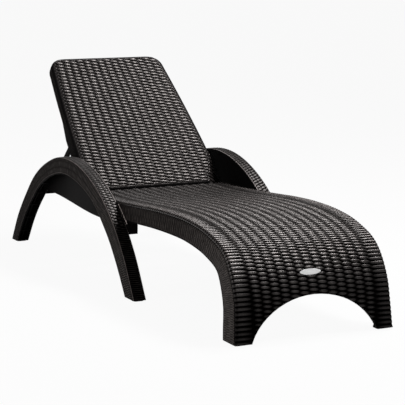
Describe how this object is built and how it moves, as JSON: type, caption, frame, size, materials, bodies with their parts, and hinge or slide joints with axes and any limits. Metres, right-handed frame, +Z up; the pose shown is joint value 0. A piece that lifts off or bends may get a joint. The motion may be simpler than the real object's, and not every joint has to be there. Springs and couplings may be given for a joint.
{
  "type": "sun lounger",
  "caption": "Moulded plastic sun lounger with a woven-look one-piece seat curving to the floor, arched arm legs and a reclining back on a notched prop.",
  "frame": {"origin": "on the floor, under the middle of the length and width", "axes": "+X across the lounger to the right of a person facing the head end, +Y along it from the foot end to the head, +Z up"},
  "size_m": [0.71, 1.8936, 0.774],
  "materials": {
    "woven_plastic": "anthracite moulded weave, satin",
    "arm_plastic": "anthracite moulded weave, satin",
    "frame_plastic": "black, fine grain",
    "zinc_steel": "zinc plated",
    "glide_rubber": "matt",
    "badge_plate": "bare, gloss"
  },
  "bodies": {
    "frame": {"seat_shell": "woven_plastic", "front_cross_member": "frame_plastic", "rear_cross_bar": "frame_plastic", "oval_badge": "badge_plate", "left_arm": "arm_plastic", "left_rack": "frame_plastic", "left_arm_bolt_1": "zinc_steel", "left_arm_bolt_2": "zinc_steel", "left_arm_bolt_3": "zinc_steel", "left_rear_bar_bolt": "zinc_steel", "left_cross_member_bolt": "zinc_steel", "left_rack_bolt": "zinc_steel", "left_hinge_pin": "frame_plastic", "left_toe_glide": "glide_rubber", "left_front_leg_glide": "glide_rubber", "left_rear_leg_glide": "glide_rubber", "right_arm": "arm_plastic", "right_rack": "frame_plastic", "right_arm_bolt_1": "zinc_steel", "right_arm_bolt_2": "zinc_steel", "right_arm_bolt_3": "zinc_steel", "right_rear_bar_bolt": "zinc_steel", "right_cross_member_bolt": "zinc_steel", "right_rack_bolt": "zinc_steel", "right_hinge_pin": "frame_plastic", "right_toe_glide": "glide_rubber", "right_front_leg_glide": "glide_rubber", "right_rear_leg_glide": "glide_rubber"},
    "backrest": {"backrest_panel": "woven_plastic", "left_prop_pin": "frame_plastic", "right_prop_pin": "frame_plastic"},
    "prop": {"backrest_prop": "frame_plastic"}
  },
  "joints": [
    {"name": "back_recline", "type": "hinge", "parent": "frame", "child": "backrest", "pos_m": [0, 0.27978, 0.28587], "axis": [1, 0, 0], "range_deg": [-41.7, 21.3]},
    {"name": "prop_swing", "type": "hinge", "parent": "backrest", "child": "prop", "pos_m": [0, 0.52339, 0.4989], "axis": [1, 0, 0], "range_deg": [-44, 86]}
  ],
  "couplings": [
    {"joint": "prop_swing", "follows": "back_recline", "ratio": -2.06}
  ]
}
